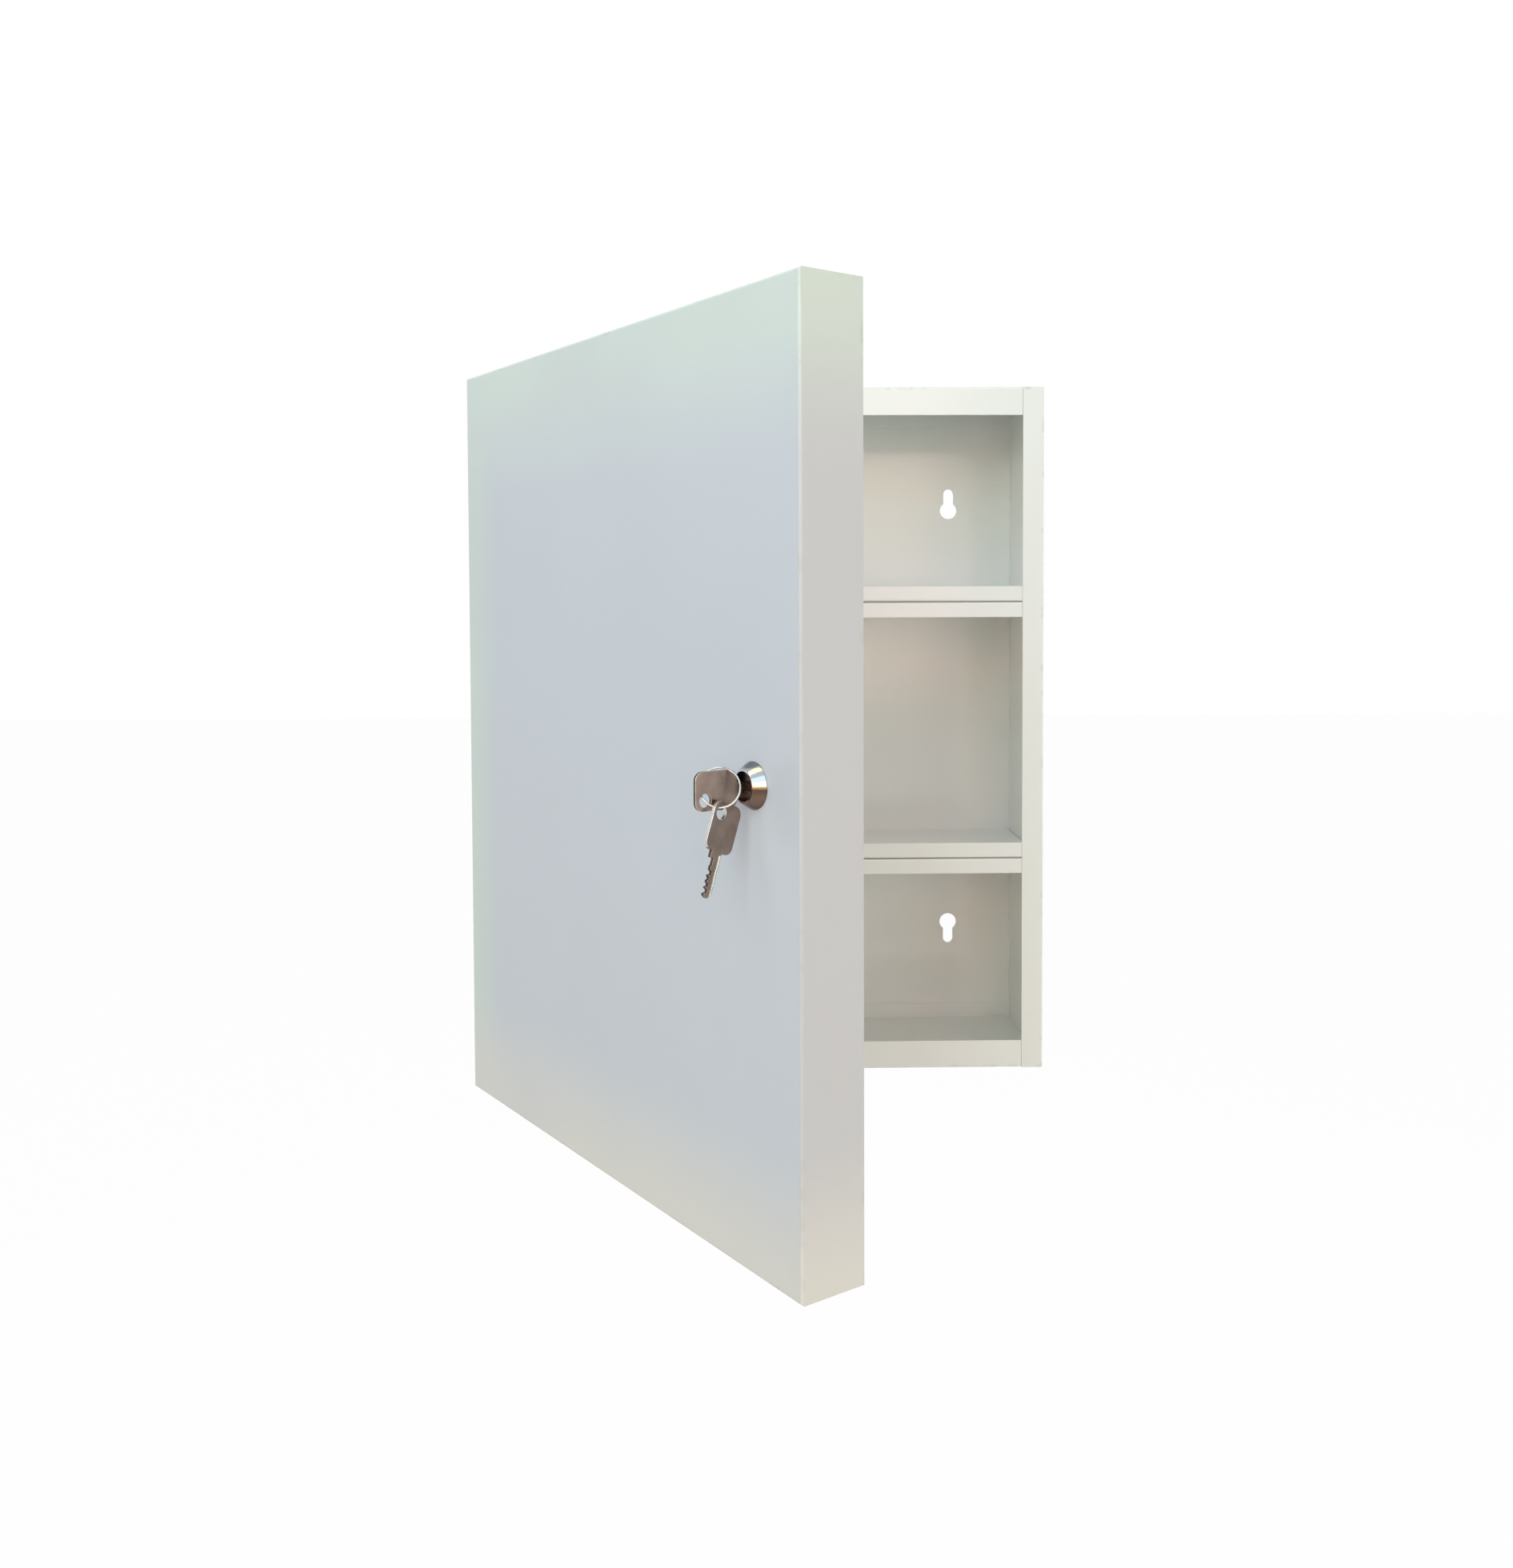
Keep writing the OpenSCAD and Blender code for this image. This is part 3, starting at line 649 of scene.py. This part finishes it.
def door_coat_with_painted_light():
    """The door's coat with painted light and shade: darker and cooler than the body's, a greenish painted cast at
    the hinge side and top, a warm painted glow at the foot, and painted shade on the free-edge flange.
    """
    finish = Finish("door_paint", Specular_IOR_Level=COAT_SPECULAR)
    turn = hinge_turn()
    coords = finish.place(turn)
    points = np.array([turn @ Vector(point) for point in points_of("door_panel")])
    low, high = points.min(0), points.max(0)
    across, up = finish.axis(coords, "X"), finish.axis(coords, "Z")
    # Masks for painted light at the hinge side, top and foot, and painted shade on the free-edge flange
    painted_light_masks = (
        (across, high[0] - RIM_SHADE_START, high[0] - RIM_SHADE_FULL, 0.0, 1.0, DOOR_RIM_PAINTED_SHADE),
        (across, low[0], low[0] + HINGE_PAINTED_LIGHT_REACH, 1.0, 0.0, DOOR_HINGE_PAINTED_LIGHT),
        (up, high[2] - TOP_PAINTED_LIGHT_REACH, high[2], 0.0, 1.0, DOOR_TOP_PAINTED_LIGHT),
        (up, low[2], low[2] + FOOT_PAINTED_LIGHT_REACH, 1.0, 0.0, DOOR_FOOT_PAINTED_LIGHT),
    )
    shade = DOOR_PAINT_AND_SHADE
    for value, start, end, at_start, at_end, painted_tone in painted_light_masks:
        shade = finish.blend(finish.range(value, start, end, at_start, at_end, smooth=True), shade, painted_tone)
    clouds = finish.drift(coords, DOOR_CLOUD_SCALE, CLOUDED, DOOR_CLOUD_SPAN, 0.0, DOOR_CLOUD_MOST)
    shade = finish.blend(clouds, shade, DOOR_CLOUD)
    shade = finish.blend(edge_wear(finish, coords, low, high), shade, RUBBED)
    return finish.done(shade, *peeled(finish, coords, *DOOR_ROUGH))


TARNISH_SCALE = 160.0
FINGER_SCALE = 420.0
SCRATCH_SCALE = 1400.0
SCRATCH_STRENGTH = 0.12
SCRATCH_HEIGHT = 0.04 * MM


def fingered(finish, coords, low_rough, high_rough):
    """Fingerprints in a metal's roughness."""
    return finish.drift(coords, FINGER_SCALE, FINE, CLOUD_SPAN, low_rough, high_rough)


def plated(name, light, dark, rough, grain=(1.0, 1.0, 1.0)):
    """Plated metal: cloudy tarnish, fingerprints, and fine scratches drawn out where the grain is low."""
    finish = Finish(name, Metallic=1.0)
    coords = finish.place()
    shade = finish.blend(finish.drift(coords, TARNISH_SCALE, STREAKED, CLOUD_SPAN, 0.0, 1.0), light, dark)
    scratches = finish.noise(finish.stretch(coords, grain), SCRATCH_SCALE, STREAKED)
    marks = finish.bump(scratches, SCRATCH_STRENGTH, SCRATCH_HEIGHT)
    return finish.done(shade, fingered(finish, coords, *rough), marks)


WAVER_SCALE = 260.0
WAVER_SHARE = 0.16


def painted_light_bands(name, bands, reach, rough):
    """Polished plating with painted light: its tone changes with height on the lock, in bands from the lowest up.
    """
    finish = Finish(name, Metallic=1.0)
    coords = finish.place()
    height = finish.math("SUBTRACT", finish.axis(coords, "Z"), lock_axis()[0].z)
    height = finish.math("DIVIDE", height, reach)
    waver = finish.math("SUBTRACT", finish.noise(coords, WAVER_SCALE, PLAIN), 0.5)
    height = finish.math("ADD", height, finish.math("MULTIPLY", waver, WAVER_SHARE))
    shade = bands[0][1]
    for (start, _), (end, colour) in zip(bands, bands[1:]):
        shade = finish.blend(finish.range(height, start, end, 0.0, 1.0, smooth=True), shade, colour)
    return finish.done(shade, fingered(finish, coords, *rough))


HEAD_RADIUS = 11 * MM
HEAD_ROUGH = (0.10, 0.18)
# Painted reflection on the lock's cone: brown below, a golden line at mid-height, bright above and grey-blue at
# the top
# The tone reached at each height, which is a share of the radius
HEAD_REFLECTION_BANDS = [
    (-1.0, (0.10, 0.065, 0.05)),
    (-0.4, (0.185, 0.12, 0.09)),
    (-0.1, (0.13, 0.08, 0.055)),
    (0.0, (0.46, 0.32, 0.17)),
    (0.13, (0.52, 0.53, 0.54)),
    (0.70, (0.46, 0.475, 0.50)),
    (0.84, (0.17, 0.185, 0.215)),
]
# Painted shade and reflection in the lock's recess: black in the upper part, brown with a lighter band on the
# lower wall
RECESS_RADIUS = 6.9 * MM
RECESS_ROUGH = (0.14, 0.26)
RECESS_PAINTED_LIGHT_BANDS = [
    (-1.0, (0.10, 0.055, 0.035)),
    (-0.45, (0.34, 0.20, 0.12)),
    (-0.1, (0.20, 0.11, 0.07)),
    (0.12, (0.03, 0.028, 0.03)),
]

KEY_GRAIN = (1.0, 1.0, 0.2)
# Lighter tone, darker tone, roughness, and on the keys the grain of the scratches
METALS = {
    "zinc_plate": ((0.62, 0.63, 0.64), (0.50, 0.51, 0.50), (0.28, 0.42)),
    "nickel": ((0.33, 0.30, 0.28), (0.25, 0.21, 0.19), (0.12, 0.22)),
    # Dark metal for painted shade on the keys' side faces
    "nickel_dark": ((0.11, 0.085, 0.07), (0.06, 0.045, 0.04), (0.28, 0.42)),
    "key_nickel": ((0.35, 0.265, 0.22), (0.27, 0.20, 0.165), (0.28, 0.38), KEY_GRAIN),
    # Bright metal on the keys' broken edges: worn metal with a painted highlight
    "key_edge_wear_and_highlight": ((0.70, 0.69, 0.66), (0.58, 0.57, 0.54), (0.16, 0.26), KEY_GRAIN),
    "ring_nickel": ((0.50, 0.475, 0.44), (0.36, 0.33, 0.30), (0.12, 0.24)),
    "brass": ((0.70, 0.55, 0.26), (0.58, 0.44, 0.20), (0.28, 0.4)),
}

NYLON_LIGHT = (0.84, 0.84, 0.80)
NYLON_DARK = (0.78, 0.78, 0.73)
NYLON_CLOUD_SCALE = 300.0
NYLON_GLOSS_SCALE = 600.0
NYLON_ROUGH = (0.4, 0.55)
NYLON_SUBSURFACE = 0.1


def nylon():
    """Moulded nylon: slightly milky, with a faint mottling."""
    finish = Finish("nylon", Subsurface_Weight=NYLON_SUBSURFACE)
    coords = finish.place()
    shade = finish.blend(finish.noise(coords, NYLON_CLOUD_SCALE, FINE), NYLON_LIGHT, NYLON_DARK)
    rough = finish.drift(coords, NYLON_GLOSS_SCALE, FINE, EVEN_SPAN, *NYLON_ROUGH, smooth=False)
    return finish.done(shade, rough)


def dress(node, material):
    data = frame["nodes"][node].data
    data.materials.clear()
    data.materials.append(material)


def dress_all():
    """Makes every material, gives each CAD node its slot's one, and returns them all by name."""
    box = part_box("body_wrap")
    looks = {name: plated(name, *values) for name, values in METALS.items()}
    looks["body_paint"] = looks["hinge_steel"] = powder_coat("body_paint", PAINT, PAINT_WORN, box)
    looks["shelf_paint"] = powder_coat("shelf_paint", PAINT, PAINT_WORN, box, shaded_seams=True)
    looks["door_paint"] = door_coat_with_painted_light()
    looks["nylon"] = nylon()
    looks["head_painted_reflection"] = painted_light_bands("head_painted_reflection", HEAD_REFLECTION_BANDS, HEAD_RADIUS, HEAD_ROUGH)
    looks["recess_painted_light"] = painted_light_bands("recess_painted_light", RECESS_PAINTED_LIGHT_BANDS, RECESS_RADIUS, RECESS_ROUGH)
    for part in frame["record"]["subparts"]:
        dress(part["node"], looks[part["material_slot"]])
    return looks


add_camera()
add_world()
add_floor()
for lamp in LAMPS:
    add_lamp(*lamp)
metal_pieces(dress_all())

view = bpy.context.scene.view_settings
view.view_transform = "Standard"
